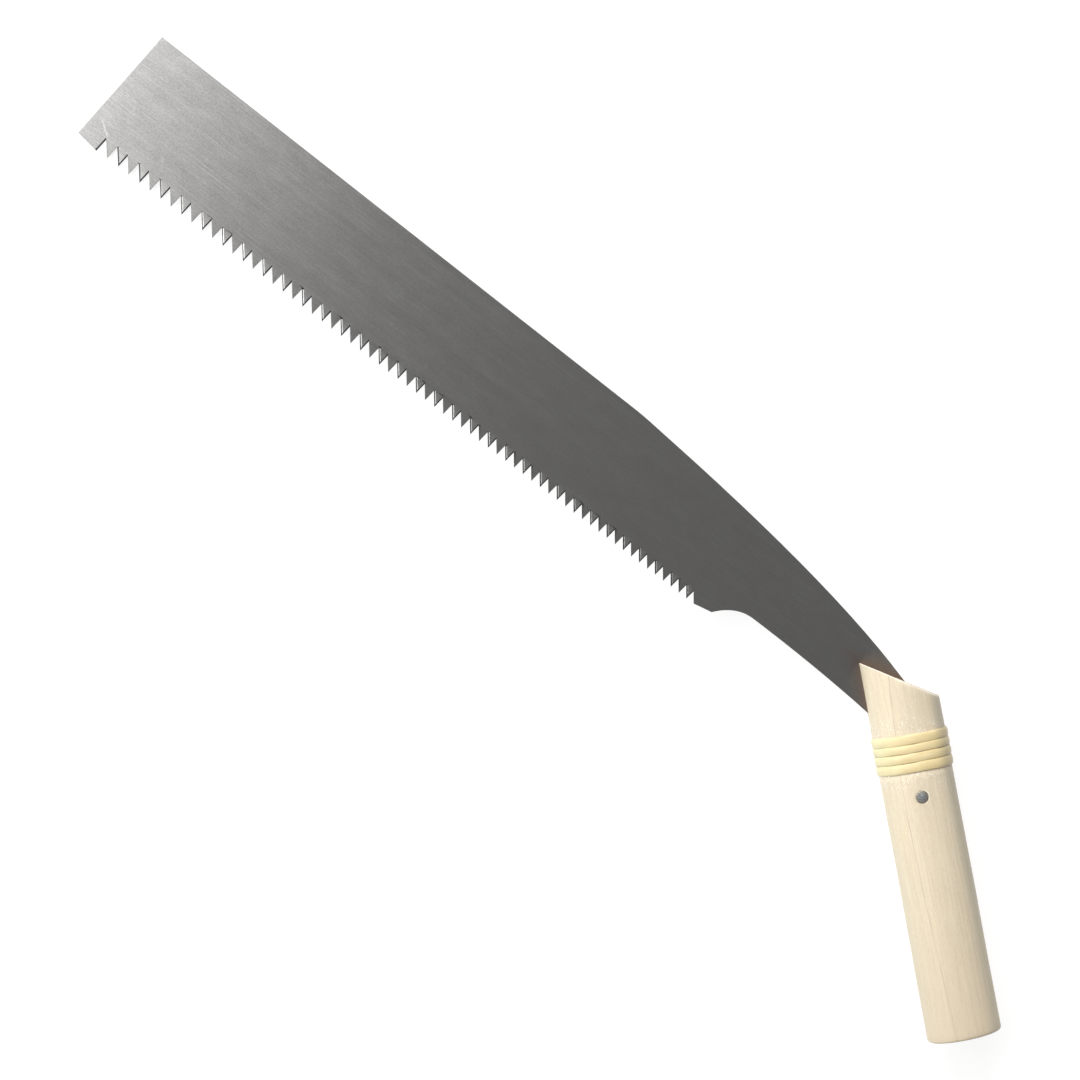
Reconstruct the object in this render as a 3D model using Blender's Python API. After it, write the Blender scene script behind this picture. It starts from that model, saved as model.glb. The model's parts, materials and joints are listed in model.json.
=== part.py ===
"""Pull saw: a toothed steel plate riveted into the split end of a round stick and bound with cane.

The saw is drawn flat: X runs along the tooth tips from the toe to the handle, Y from the tips to the
spine, and Z out of the plate. It is then laid down as it lies on a bench, on its toe and its binding.
"""

import math

import bmesh
import bpy
from mathutils import Vector

GAP = 0.0003  # between pieces that touch
BINDING_GAP = 0.0002  # between the wood and the cane round it

# Plate, in the flat drawing. A slope is in degrees down towards the stick.
PLATE = 0.0012
TOE_LOW = Vector((-0.00065, 0.0015))
TOE_HIGH = Vector((0.00315, 0.0542))
HEEL_START = Vector((0.3220, 0.0003))
HEEL_END = Vector((0.3302, 0.0020))
SCOOP_SLOPE = -51  # where the edge climbs from the heel to the belly
BELLY_START = Vector((0.3455, 0.0103))
BELLY_MOUTH = Vector((0.4074, 0.0079))  # where the belly runs into the stick
BELLY_MOUTH_SLOPE = 4.8
SPINE_BEND = Vector((0.2520, 0.05012))  # the spine is straight from the toe to here
SPINE_SHOULDER = Vector((0.2620, 0.04966))
SPINE_SHOULDER_SLOPE = 4.4
SPINE_MOUTH = Vector((0.4116, 0.02775))  # where the spine runs into the stick
SPINE_MOUTH_SLOPE = 16.2
CURVE_STEPS = 14

# Teeth: tooth 0 is the corner where the toe flat ends
TEETH = 64
FIRST_TIP = 0.00985
FIRST_PITCH = 0.00566
LAST_PITCH = 0.00407
TOE_LEAN = math.radians(5)  # of the cutting face, from upright, at the toe
HEEL_LEAN = math.radians(8)
NOTCH_SPREAD = 0.905  # width of a notch over its depth
BEVEL = 0.0005  # how far the file's slant moves a notch from one side of the plate to the other
SET = 0.00028  # how far a tip is bent out of the plate

# Stick, measured from its butt along its axis
BUTT = Vector((0.52065, -0.0745))
STICK_SLOPE = 42.3  # of the axis, in degrees below the tooth line
BUTT_RADIUS = 0.01555
TAPER = 0.0026  # loss of radius for each unit of length
BUTT_ROUNDING = 0.0009
CUT_MIDDLE = 0.15065  # where the slanted end crosses the axis
CUT_SLANT = math.radians(33.2)
STICK_SIDES = 72
KERF_END = 0.0795
TANG_END = 0.0835
TANG_HALF = 0.0105  # half the width of the tang
TANG_CORNER = 0.0020
TANG_TOP_BELLY = 0.1250  # where the tang's straight edges begin, below the mouth
TANG_TOP_SPINE = 0.1230

# Rivet
RIVET_HEIGHT = 0.1021
RIVET_OFFSET = -0.0008  # off the axis, towards the teeth
SHANK_RADIUS = 0.0020
HEAD_RADIUS = 0.0025
HEAD_THICKNESS = 0.0007
HEAD_DOME = 0.0003

# Binding
TURNS = 4
TURN_PITCH = 0.0040
TURN_GAP = 0.00015
BINDING_MIDDLE = 0.1206
CANE_THICKNESS = 0.00075
CANE_EDGE = 0.00025  # thickness of the cane at its two edges
STEP_HALF = math.radians(32)  # half the angle in which the cane steps over to its next turn
STEPS_PER_TURN = 48


def clear_scene():
    for thing in list(bpy.data.objects):
        bpy.data.objects.remove(thing, do_unlink=True)


def material(name, colour, roughness, metallic=0.0):
    made = bpy.data.materials.new(name)
    made.use_nodes = True
    shader = made.node_tree.nodes["Principled BSDF"]
    shader.inputs["Base Color"].default_value = (*colour, 1.0)
    shader.inputs["Roughness"].default_value = roughness
    shader.inputs["Metallic"].default_value = metallic
    made.diffuse_color = (*colour, 1.0)
    return made


def empty(name, parent=None):
    made = bpy.data.objects.new(name, None)
    bpy.context.scene.collection.objects.link(made)
    made.parent = parent
    return made


def mesh_object(name, bm, finish=None, parent=None):
    bmesh.ops.recalc_face_normals(bm, faces=bm.faces)
    mesh = bpy.data.meshes.new(name)
    bm.to_mesh(mesh)
    bm.free()
    if finish:
        mesh.materials.append(finish)
    made = bpy.data.objects.new(name, mesh)
    bpy.context.scene.collection.objects.link(made)
    made.parent = parent
    return made


def shade_round(thing):
    thing.data.shade_smooth()
    thing.data.set_sharp_from_angle(angle=math.radians(30))


def make_cutter(thing):
    thing.hide_render = True
    thing.display_type = "WIRE"


def cut(thing, cutter):
    boolean = thing.modifiers.new("cut_" + cutter.name, "BOOLEAN")
    boolean.operation = "DIFFERENCE"
    boolean.object = cutter


def slope(degrees_down):
    """Unit vector in the drawing, pointing to the handle and down by this angle."""
    angle = math.radians(degrees_down)
    return Vector((math.cos(angle), -math.sin(angle)))


def curve(start, start_slope, start_pull, end, end_slope, end_pull):
    """Points along a cubic curve to the handle side: its end is included and its start is left out."""
    after_start = start + slope(start_slope) * start_pull
    before_end = end - slope(end_slope) * end_pull
    points = []
    for step in range(1, CURVE_STEPS + 1):
        t = step / CURVE_STEPS
        s = 1 - t
        points.append(s**3 * start + 3 * s * s * t * after_start + 3 * s * t * t * before_end + t**3 * end)
    return points


def on_stick(across, height):
    """Point of the drawing at this height up the stick, this far across its axis towards the spine."""
    along = slope(STICK_SLOPE)
    return BUTT - along * height + Vector((-along.y, along.x)) * across


def stick_radius(height):
    return BUTT_RADIUS - TAPER * height


def tip_positions():
    """Places of the tooth tips along the edge. Their spacing shrinks evenly, in proportion, to the heel."""
    ratio = (LAST_PITCH / FIRST_PITCH) ** (1 / (TEETH - 1))
    places = [FIRST_TIP]
    for tooth in range(TEETH):
        places.append(places[-1] + FIRST_PITCH * ratio**tooth)
    return places


def face_lean(tooth):
    """Tangent of the cutting face's lean."""
    return math.tan(TOE_LEAN + (HEEL_LEAN - TOE_LEAN) * tooth / TEETH)


def edge_points(side):
    """Tips and notch bottoms on one face of the plate: side is 1 on the front, -1 on the back.

    Each notch is filed at a slant, alternately from the two sides. So a tooth is bevelled on one face,
    where its outline is drawn in, and its cutting point is on the other.
    """
    tips = tip_positions()
    corner_back = HEEL_START.x + HEEL_START.y * (NOTCH_SPREAD - face_lean(TEETH))
    drawn_in = [BEVEL if (tooth % 2 == 0) == (side == 1) else 0.0 for tooth in range(TEETH + 2)]
    outline_tips = []
    notches = []
    for tooth, tip in enumerate(tips):
        lean = face_lean(tooth)
        inset = drawn_in[tooth]
        rise = 2 * inset / NOTCH_SPREAD
        outline_tips.append(Vector((tip - inset + rise * lean, rise)))
        next_tip = tips[tooth + 1] if tooth < TEETH else corner_back
        depth = (next_tip + drawn_in[tooth + 1] - tip + inset) / NOTCH_SPREAD
        notches.append(Vector((tip - inset + depth * lean, depth)))
    toe_flat = TOE_LOW.y / (FIRST_TIP - TOE_LOW.x)
    outline_tips[0] = Vector((FIRST_TIP - drawn_in[0], toe_flat * drawn_in[0]))
    heel = HEEL_START + (HEEL_END - HEEL_START).normalized() * drawn_in[TEETH + 1]
    return outline_tips, notches, heel


def spine_points():
    """From the tang back to where the spine becomes straight, in that order."""
    tang_top = on_stick(TANG_HALF, TANG_TOP_SPINE)
    points = [SPINE_BEND]
    points += curve(SPINE_BEND, spine_slope(), 0.0035, SPINE_SHOULDER, SPINE_SHOULDER_SLOPE, 0.0035)
    points += curve(SPINE_SHOULDER, SPINE_SHOULDER_SLOPE, 0.062, SPINE_MOUTH, SPINE_MOUTH_SLOPE, 0.038)
    points += curve(SPINE_MOUTH, SPINE_MOUTH_SLOPE, 0.008, tang_top, STICK_SLOPE, 0.010)
    return points[::-1]


def spine_slope():
    straight = SPINE_BEND - TOE_HIGH
    return -math.degrees(math.atan2(straight.y, straight.x))


def belly_points():
    """From the heel along the scoop and the belly to the tang."""
    tang_top = on_stick(-TANG_HALF, TANG_TOP_BELLY)
    points = [HEEL_END]
    points += curve(HEEL_END, SCOOP_SLOPE, 0.0045, BELLY_START, 0, 0.0075)
    points += curve(BELLY_START, 0, 0.020, BELLY_MOUTH, BELLY_MOUTH_SLOPE, 0.020)
    points += curve(BELLY_MOUTH, BELLY_MOUTH_SLOPE, 0.0055, tang_top, STICK_SLOPE, 0.0055)
    return points


def tang_end_points():
    inner = TANG_HALF - TANG_CORNER
    above = TANG_END + TANG_CORNER
    places = [(-TANG_HALF, above), (-inner, TANG_END), (inner, TANG_END), (TANG_HALF, above)]
    return [on_stick(across, height) for across, height in places]


def tip_bend(tooth, tip, notch):
    """How far a tip leans out of the plate: every second tooth to the back, the others to the front."""
    if tooth == 0:
        return 0.0
    way = -1 if tooth % 2 == 0 else 1
    return way * SET * (1 - tip.y / notch.y)


def make_blade(steel):
    """The plate's two faces differ only along the teeth, and a wall joins them all round."""
    bm = bmesh.new()
    sides = {}
    rest = belly_points() + tang_end_points() + spine_points() + [TOE_HIGH, TOE_LOW]
    for side in (1, -1):
        tips, notches, heel = edge_points(side)
        level = side * PLATE / 2
        tip_verts = []
        notch_verts = []
        for tooth, (tip, notch) in enumerate(zip(tips, notches)):
            tip_level = level + tip_bend(tooth, tip, notch)
            tip_verts.append(bm.verts.new((tip.x, tip.y, tip_level)))
            notch_verts.append(bm.verts.new((notch.x, notch.y, level)))
        rest_verts = [bm.verts.new((point.x, point.y, level)) for point in [heel] + rest]
        bm.faces.new([tip_verts[0]] + notch_verts + rest_verts)
        for tooth in range(1, TEETH + 1):
            bm.faces.new((notch_verts[tooth - 1], tip_verts[tooth], notch_verts[tooth]))
        edge = [vert for pair in zip(tip_verts, notch_verts) for vert in pair]
        sides[side] = edge + rest_verts
    front, back = sides[1], sides[-1]
    for place in range(len(front)):
        following = (place + 1) % len(front)
        bm.faces.new((front[place], back[place], back[following], front[following]))
    return mesh_object("saw_blade", bm, steel)


def turned(profile, sides):
    """Solid turned about Z from (radius, height) pairs that start and end on the axis."""
    bm = bmesh.new()
    rings = []
    for radius, height in profile:
        if radius == 0:
            rings.append([bm.verts.new((0, 0, height))])
            continue
        angles = [2 * math.pi * (side + 0.5) / sides for side in range(sides)]
        rings.append([bm.verts.new((radius * math.cos(a), radius * math.sin(a), height)) for a in angles])
    for low, high in zip(rings, rings[1:]):
        for side in range(sides):
            following = (side + 1) % sides
            corners = [low[side % len(low)], low[following % len(low)]]
            corners += [high[following % len(high)], high[side % len(high)]]
            bm.faces.new(list(dict.fromkeys(corners)))
    return bm


def make_handle(wood, axis):
    steps = 4
    profile = [(0.0, 0.0)]
    for step in range(steps + 1):
        angle = math.pi / 2 * step / steps
        radius = BUTT_RADIUS - BUTT_ROUNDING * (1 - math.sin(angle))
        profile.append((radius, BUTT_ROUNDING * (1 - math.cos(angle))))
    top = CUT_MIDDLE + BUTT_RADIUS
    profile += [(stick_radius(top), top), (0.0, top)]
    bm = turned(profile, STICK_SIDES)
    slanted = Vector((math.tan(CUT_SLANT), 0, 1)).normalized()
    geometry = bm.verts[:] + bm.edges[:] + bm.faces[:]
    sliced = bmesh.ops.bisect_plane(
        bm, geom=geometry, plane_co=(0, 0, CUT_MIDDLE), plane_no=slanted, clear_outer=True
    )
    rim = [piece for piece in sliced["geom_cut"] if isinstance(piece, bmesh.types.BMEdge)]
    bmesh.ops.contextual_create(bm, geom=rim)
    handle = mesh_object("handle", bm, wood, axis)
    shade_round(handle)
    return handle


def make_kerf_cutter(axis):
    """The saw cut that takes the plate, through the stick from side to side and out of its slanted end."""
    width = 3 * BUTT_RADIUS
    length = CUT_MIDDLE
    bm = bmesh.new()
    bmesh.ops.create_cube(bm, size=1)
    bmesh.ops.scale(bm, vec=(width, PLATE + 2 * GAP, length), verts=bm.verts)
    bmesh.ops.translate(bm, vec=(0, 0, KERF_END + length / 2), verts=bm.verts)
    cutter = mesh_object("kerf_cutter", bm, parent=axis)
    make_cutter(cutter)
    return cutter


def place_across_stick(thing):
    """Stands a piece turned about Z across the stick, front to back, at the rivet's place."""
    thing.location = (RIVET_OFFSET, 0, RIVET_HEIGHT)
    thing.rotation_euler = (math.radians(90), 0, 0)


def head_seat():
    """Distance of a rivet head's underside from the stick's axis."""
    return stick_radius(RIVET_HEIGHT) - HEAD_THICKNESS


def make_rivet_cutter(axis):
    """A hole through wood and plate, with a shallow seat for each head."""
    hole = SHANK_RADIUS + GAP
    seat = HEAD_RADIUS + GAP
    floor = head_seat() - GAP
    outside = BUTT_RADIUS + HEAD_THICKNESS
    profile = [(0, -outside), (seat, -outside), (seat, -floor), (hole, -floor)]
    profile += [(radius, -height) for radius, height in reversed(profile)]
    cutter = mesh_object("rivet_cutter", turned(profile, 24), parent=axis)
    place_across_stick(cutter)
    make_cutter(cutter)
    return cutter


def make_rivet(steel, axis):
    """A pin peened over at both ends into low domed heads."""
    seat = head_seat()
    rim = stick_radius(RIVET_HEIGHT) - 0.0001
    profile = [(0, -rim - HEAD_DOME), (HEAD_RADIUS * 0.55, -rim - HEAD_DOME * 0.75)]
    profile += [(HEAD_RADIUS * 0.9, -rim - HEAD_DOME * 0.25), (HEAD_RADIUS, -rim)]
    profile += [(HEAD_RADIUS, -seat), (SHANK_RADIUS, -seat)]
    profile += [(radius, -height) for radius, height in reversed(profile)]
    rivet = mesh_object("rivet", turned(profile, 24), steel, axis)
    place_across_stick(rivet)
    shade_round(rivet)
    return rivet


def cane_section():
    """Half-round section of the cane: (distance out from the wood, distance along the stick)."""
    half = (TURN_PITCH - TURN_GAP) / 2
    steps = 6
    points = [(0.0, -half)]
    for step in range(steps + 1):
        angle = math.pi * step / steps
        points.append((CANE_EDGE + (CANE_THICKNESS - CANE_EDGE) * math.sin(angle), -half * math.cos(angle)))
    points.append((0.0, half))
    return points


def steps_over(turned_angle):
    """How many turns the cane has stepped over. It steps at the back of the stick and is level elsewhere."""
    nearest = round(turned_angle / (2 * math.pi))
    part = (turned_angle - nearest * 2 * math.pi + STEP_HALF) / (2 * STEP_HALF)
    part = min(max(part, 0.0), 1.0)
    return nearest - 1 + part * part * (3 - 2 * part)


def make_binding(cane, axis):
    first = STEP_HALF
    last = TURNS * 2 * math.pi - STEP_HALF
    steps = round((last - first) / (2 * math.pi) * STEPS_PER_TURN)
    top = BINDING_MIDDLE + TURN_PITCH * (TURNS - 1) / 2
    inside = stick_radius(BINDING_MIDDLE - TURN_PITCH * TURNS / 2) + BINDING_GAP
    bm = bmesh.new()
    rings = []
    for step in range(steps + 1):
        angle = first + (last - first) * step / steps
        height = top - TURN_PITCH * steps_over(angle)
        ring = []
        for out, along in cane_section():
            radius = inside + out
            ring.append(bm.verts.new((radius * math.sin(angle), radius * math.cos(angle), height + along)))
        rings.append(ring)
    for ring, following in zip(rings, rings[1:]):
        for place in range(len(ring)):
            beside = (place + 1) % len(ring)
            bm.faces.new((ring[place], ring[beside], following[beside], following[place]))
    bm.faces.new(rings[0])
    bm.faces.new(rings[-1])
    binding = mesh_object("rattan_wrap", bm, cane, axis)
    shade_round(binding)
    return binding


def world_points(things):
    bpy.context.view_layer.update()
    graph = bpy.context.evaluated_depsgraph_get()
    for thing in things:
        evaluated = thing.evaluated_get(graph)
        for vert in evaluated.data.vertices:
            yield evaluated.matrix_world @ vert.co


def lay_on_bench(bench, things):
    """Tips the saw until toe and binding both touch the bench, with the origin under its middle."""
    binding_top = on_stick(0, BINDING_MIDDLE + TURN_PITCH * (TURNS - 1) / 2)
    lift = stick_radius(BINDING_MIDDLE) + BINDING_GAP + CANE_THICKNESS - PLATE / 2
    bench.rotation_euler = (0, -math.atan(lift / (binding_top.x - TOE_LOW.x)), 0)
    points = list(world_points(things))
    low = Vector([min(point[axis] for point in points) for axis in range(3)])
    high = Vector([max(point[axis] for point in points) for axis in range(3)])
    bench.location = (-(low.x + high.x) / 2, -(low.y + high.y) / 2, -low.z)


def main():
    clear_scene()
    ground_steel = material("ground_steel", (0.42, 0.42, 0.41), 0.32, 1.0)
    pale_wood = material("pale_wood", (0.80, 0.68, 0.50), 0.55)
    split_cane = material("split_cane", (0.82, 0.70, 0.38), 0.35)
    dark_steel = material("dark_steel", (0.16, 0.19, 0.22), 0.40, 1.0)

    bench = empty("bench")
    stick_axis = empty("stick_axis", bench)
    stick_axis.location = (BUTT.x, BUTT.y, 0)
    stick_axis.rotation_euler = (math.radians(-90), 0, math.radians(90 - STICK_SLOPE))

    blade = make_blade(ground_steel)
    blade.parent = bench
    handle = make_handle(pale_wood, stick_axis)
    rivet = make_rivet(dark_steel, stick_axis)
    binding = make_binding(split_cane, stick_axis)

    rivet_cutter = make_rivet_cutter(stick_axis)
    cut(handle, make_kerf_cutter(stick_axis))
    cut(handle, rivet_cutter)
    cut(blade, rivet_cutter)
    lay_on_bench(bench, [blade, handle, rivet, binding])


main()
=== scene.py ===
"""Looks of the pull saw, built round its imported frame: plate, stick, cane binding and rivet.

The record's mounts give the two frames that every piece is made in. The plate's drawing has X along the
tooth tips from the toe, Y to the spine and Z out of the front of the plate. The stick's frame has Z up its
axis from the butt, X to the spine side and Y to the back.
"""

import json
import math

import bmesh
import bpy
from mathutils import Matrix, Vector, noise


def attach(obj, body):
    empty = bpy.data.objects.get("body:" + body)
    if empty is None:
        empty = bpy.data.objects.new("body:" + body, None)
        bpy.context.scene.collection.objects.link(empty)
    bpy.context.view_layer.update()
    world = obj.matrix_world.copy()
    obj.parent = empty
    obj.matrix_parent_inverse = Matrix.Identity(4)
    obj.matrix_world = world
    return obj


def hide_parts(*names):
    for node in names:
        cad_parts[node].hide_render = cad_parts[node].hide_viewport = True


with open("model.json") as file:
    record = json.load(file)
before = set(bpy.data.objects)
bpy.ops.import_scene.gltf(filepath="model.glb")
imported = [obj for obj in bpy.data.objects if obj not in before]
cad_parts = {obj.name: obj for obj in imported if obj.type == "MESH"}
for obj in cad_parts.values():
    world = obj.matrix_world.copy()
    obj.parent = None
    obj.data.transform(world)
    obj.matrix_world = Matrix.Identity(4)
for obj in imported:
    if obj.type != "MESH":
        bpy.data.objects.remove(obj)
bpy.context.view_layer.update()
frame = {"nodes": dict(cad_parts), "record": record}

MM = 0.001

# Plate, in its drawing
PLATE = 1.2 * MM
PLATE_MOUNT = Vector((160.0, 27.0)) * MM  # where the mount plate_front lies
TEETH_FROM = 9.2 * MM
TEETH_TO = 322.6 * MM
NOTCH_TOP = 7.5 * MM
HIDDEN_FROM = 400 * MM  # the tang in the wood keeps its sharp edges
FLAT_LEVEL = 0.97  # the front and back face up or down at least this much, bent tooth tips included
OUTLINE_BREAK = 0.16 * MM  # width of the broken edge round the plate

# The plate's finishes: its ground faces, what the file left in the notches, mostly near black there as
# painted shade, and the teeth it went over.
# Edges of the last kind get a width of their own, but the finish of the cutting ones
GROUND, CUTTING, FILED, RIDGE, FRESH, UNDERCUT = range(6)
NOTCH_BREAKS = {CUTTING: 0.06 * MM, UNDERCUT: 0.15 * MM, RIDGE: 0.42 * MM, FILED: 0.04 * MM}
TOOTH_AREA = 30 * MM * MM  # a face smaller than this is a tooth, not the plate
CORNER_AREA = 0.12 * MM * MM  # facets smaller than this, in the corners of the notches, get the near-black cutting finish: painted shade
WALL_LEVEL = 0.6  # the walls of a notch face up or down no more than this
LEAN_OUT = 0.05  # a wall that leans out less than this is square, or undercut
RIDGE_LEVEL = 0.86  # of the two facets along a ridge, the one nearer the flat is bright, the other gets the filed finish with its painted shade
STRAY_LEAN = -0.11  # facets at the ends of a ridge lean less than this and stay ground
# The near-black colours of the notch walls are painted shade, not the steel's own colour
FILED_PAINTED_SHADE = (0.048, 0.049, 0.050)
FILED_DULL_PAINTED_SHADE = (0.040, 0.040, 0.040)
BRIGHT_FILED = (0.80, 0.80, 0.79)

ROUGH_LOW = 0.37  # roughness of the ground faces
ROUGH_HIGH = 0.40
WOOD_SHADE_REACH = 8 * MM  # how far from the wood the plate carries painted shade and a painted brown reflection of the wood
# Scratches near the toe, each from where, to where and how wide. Smudges, each where and how big
TOE_SCRATCHES = (
    (Vector((3.4, 12.2)) * MM, Vector((10.6, 7.2)) * MM, 0.34 * MM),
    (Vector((7.0, 9.0)) * MM, Vector((10.2, 8.3)) * MM, 0.26 * MM),
)
SMUDGES = (
    (Vector((173.6, 11.6)) * MM, Vector((2.2, 1.5)) * MM),
    (Vector((34.0, 13.6)) * MM, Vector((1.8, 1.4)) * MM),
)

# Stick, in its own frame
BUTT_RADIUS = 15.55 * MM
TAPER = 0.0026  # radius lost with height
BUTT_ROUNDING = 1.35 * MM
BUTT_TILT = 0.020  # the butt isn't sawn quite square
BUTT_TILT_FADE = 12 * MM
CUT_MIDDLE = 150.65 * MM
CUT_SLANT = math.tan(math.radians(33.2))
KERF_END = 79.5 * MM
KERF_HALF = PLATE / 2 + 0.09 * MM
KERF_BREAK = 0.12 * MM
CUT_CURL = 65.0  # the knife left the wood a little early at the low end of the slanted cut
CUT_CURL_FROM = 11.5 * MM
RIM_BREAK = 0.45 * MM
UNEVENNESS = 0.11 * MM
PITH = (30.0 * MM, 20.0 * MM)  # middle of the growth rings, outside the stick
LINE_TURN = 98 * MM  # height at which the dark ring line is farthest to the teeth
LINE_PLACE = -8.05 * MM
LINE_BOW_BELOW = 0.115  # how fast it bows back below that height
LINE_BOW_ABOVE = 0.21
FLECKS_MIDDLE = 121 * MM  # pale flecks lie in the wood round the binding
BINDING_SHADOW_AT = 111.6 * MM  # painted light along the binding's lower edge, lifting the shadow that the binding casts on the wood

# Rivet, in the stick's frame
RIVET = Vector((-0.8, 0.0, 102.1)) * MM
SHANK_RADIUS = 2.0 * MM
HEAD_RADIUS = 2.6 * MM
HEAD_THICKNESS = 0.7 * MM
HEAD_DOME = 0.22 * MM
SEAT_GAP = 0.12 * MM
HEAD_RING_HIGHLIGHT_RADIUS = 3.0 * MM  # of the pale ring that the head pressed up in the wood, painted on its +X side only as a painted highlight

# Binding, in the stick's frame
TURNS = 4
TURN_PITCH = 4.0 * MM
TURN_GAP = 0.06 * MM
TURN_WIDTHS = (1.03, 0.91, 0.98, 1.03)  # the four turns aren't alike, from the slanted end down
TURN_DROPS = tuple(drop * MM for drop in (0.42, 0.20, 0.0, 0.0))
BINDING_MIDDLE = 120.6 * MM
BINDING_LIFT = 0.05 * MM
CANE_THICKNESS = 0.80 * MM
CANE_EDGE = 0.40 * MM
STEP_HALF = math.radians(32)

# Camera: square over a point of the plate's drawing, turned in the plate's plane
VIEW_POINT = Vector((255.1, -17.3)) * MM
VIEW_DISTANCE = 1.460
VIEW_WIDTH = 0.44975  # what the picture spans at that distance
VIEW_TURN = math.radians(37.23)
SENSOR = 36.0

# Studio
AIM = Vector((150.0, 20.0)) * MM  # point of the plate's drawing that the lamps face
WALL_TOP = (0.03, 0.13)  # sine of the elevation where the pale horizon gives way to the dim ceiling
WALL_LIGHT = 0.30
CEILING_LIGHT = 0.238
FLOOR_GLOW = 0.84  # the floor is a lit sheet, as under a product photograph


def frame_matrix(x_axis, y_axis, z_axis, origin):
    matrix = Matrix((x_axis, y_axis, z_axis)).transposed().to_4x4()
    matrix.translation = origin
    return matrix


def find_frames():
    """World matrices of the plate's drawing and of the stick's frame."""
    mounts = {mount["name"]: mount for mount in frame["record"]["mounts"]}
    out = Vector(mounts["plate_front"]["axis"]).normalized()
    across = Vector((0, 1, 0))
    along = across.cross(out)
    corner = along * PLATE_MOUNT.x + across * PLATE_MOUNT.y + out * (PLATE / 2)
    drawing = frame_matrix(along, across, out, Vector(mounts["plate_front"]["pos_m"]) - corner)
    up = -Vector(mounts["butt_face"]["axis"]).normalized()
    stick = frame_matrix(up.cross(out), -out, up, Vector(mounts["butt_face"]["pos_m"]))
    return drawing, stick


DRAWING, STICK = find_frames()


# ---------------------------------------------------------------- meshes


def add_piece(name, bm, finishes, place, node):
    """Makes a mesh object in its frame, riding on the root body in place of a CAD node."""
    bmesh.ops.recalc_face_normals(bm, faces=bm.faces)
    mesh = bpy.data.meshes.new(name)
    bm.to_mesh(mesh)
    bm.free()
    for finish in finishes:
        mesh.materials.append(finish)
    piece = bpy.data.objects.new(name, mesh)
    bpy.context.scene.collection.objects.link(piece)
    piece.matrix_world = place
    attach(piece, "root")
    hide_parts(node)
    return piece


def shade(piece, sharp_angle):
    piece.data.shade_smooth()
    piece.data.set_sharp_from_angle(angle=math.radians(sharp_angle))


def bridge(bm, low, high, closed=True):
    """Quads between two rows of vertices of the same length."""
    count = len(low) if closed else len(low) - 1
    for place in range(count):
        beside = (place + 1) % len(low)
        bm.faces.new((low[place], low[beside], high[beside], high[place]))


def add_row(bm, points):
    return [bm.verts.new(point) for point in points]


def in_teeth(point):
    return TEETH_FROM < point.x < TEETH_TO and point.y < NOTCH_TOP


def is_flat(face):
    """True for the plate's front and back."""
    return abs(face.normal.z) > FLAT_LEVEL


def notch_edges(bm, kind):
    """Edges between the plate's flats and the notch walls that get the broken edge of this finish."""
    found = []
    for edge in bm.edges:
        if len(edge.link_faces) != 2 or not in_teeth((edge.verts[0].co + edge.verts[1].co) / 2):
            continue
        flat, wall = sorted(edge.link_faces, key=lambda face: -abs(face.normal.z))
        if not is_flat(flat) or abs(wall.normal.z) > WALL_LEVEL:
            continue
        leans_out = wall.normal.z * flat.normal.z > LEAN_OUT
        if wall.normal.x > 0:
            wall_kind = CUTTING if leans_out else UNDERCUT
        else:
            wall_kind = RIDGE if leans_out else FILED
        if wall_kind == kind:
            found.append(edge)
    return found


def make_blade(finishes):
    """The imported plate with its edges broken, and its notches in the filed finishes."""
    bm = bmesh.new()
    bm.from_mesh(frame["nodes"]["saw_blade"].data)
    bm.transform(DRAWING.inverted())
    bmesh.ops.remove_doubles(bm, verts=bm.verts, dist=0.002 * MM)
    bmesh.ops.dissolve_limit(bm, angle_limit=math.radians(0.4), verts=bm.verts, edges=bm.edges)
    bm.normal_update()
    plain = []
    for edge in bm.edges:
        middle = (edge.verts[0].co + edge.verts[1].co) / 2
        if len(edge.link_faces) == 2 and not in_teeth(middle) and middle.x < HIDDEN_FROM:
            if is_flat(edge.link_faces[0]) != is_flat(edge.link_faces[1]):
                plain.append(edge)
    bmesh.ops.bevel(bm, geom=plain, offset=OUTLINE_BREAK, segments=2, profile=0.5, affect="EDGES")
    bm.normal_update()
    for face in bm.faces:
        if in_teeth(face.calc_center_median()) and not is_flat(face):
            face.material_index = CUTTING if face.normal.x > 0 else FILED
    for edge in notch_edges(bm, RIDGE):
        for face in edge.link_faces:
            if is_flat(face) and face.calc_area() < TOOTH_AREA:
                face.material_index = FRESH
    for kind, width in NOTCH_BREAKS.items():
        made = bmesh.ops.bevel(bm, geom=notch_edges(bm, kind), offset=width,
                               segments=2 if kind == RIDGE else 1, profile=0.5, affect="EDGES")
        bm.normal_update()
        for face in made["faces"]:
            finish = kind
            if kind == RIDGE and abs(face.normal.z) < RIDGE_LEVEL:
                finish = FILED
            elif kind == RIDGE and face.normal.x > STRAY_LEAN:
                finish = GROUND
            # Undercut walls and small corner facets get the near-black cutting finish: painted shade
            if kind == UNDERCUT or face.calc_area() < CORNER_AREA:
                finish = CUTTING
            face.material_index = finish
        bm.normal_update()
    uv = bm.loops.layers.uv.new("across_and_along")
    for face in bm.faces:
        for loop in face.loops:
            loop[uv].uv = (loop.vert.co.y, loop.vert.co.x)
    piece = add_piece("blade", bm, finishes, DRAWING, "saw_blade")
    shade(piece, 25)
    for face in piece.data.polygons:
        if face.material_index in (CUTTING, FILED, RIDGE):
            face.use_smooth = False
    weighted = piece.modifiers.new("flat_faces_stay_flat", "WEIGHTED_NORMAL")
    weighted.keep_sharp = True
    return piece


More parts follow.
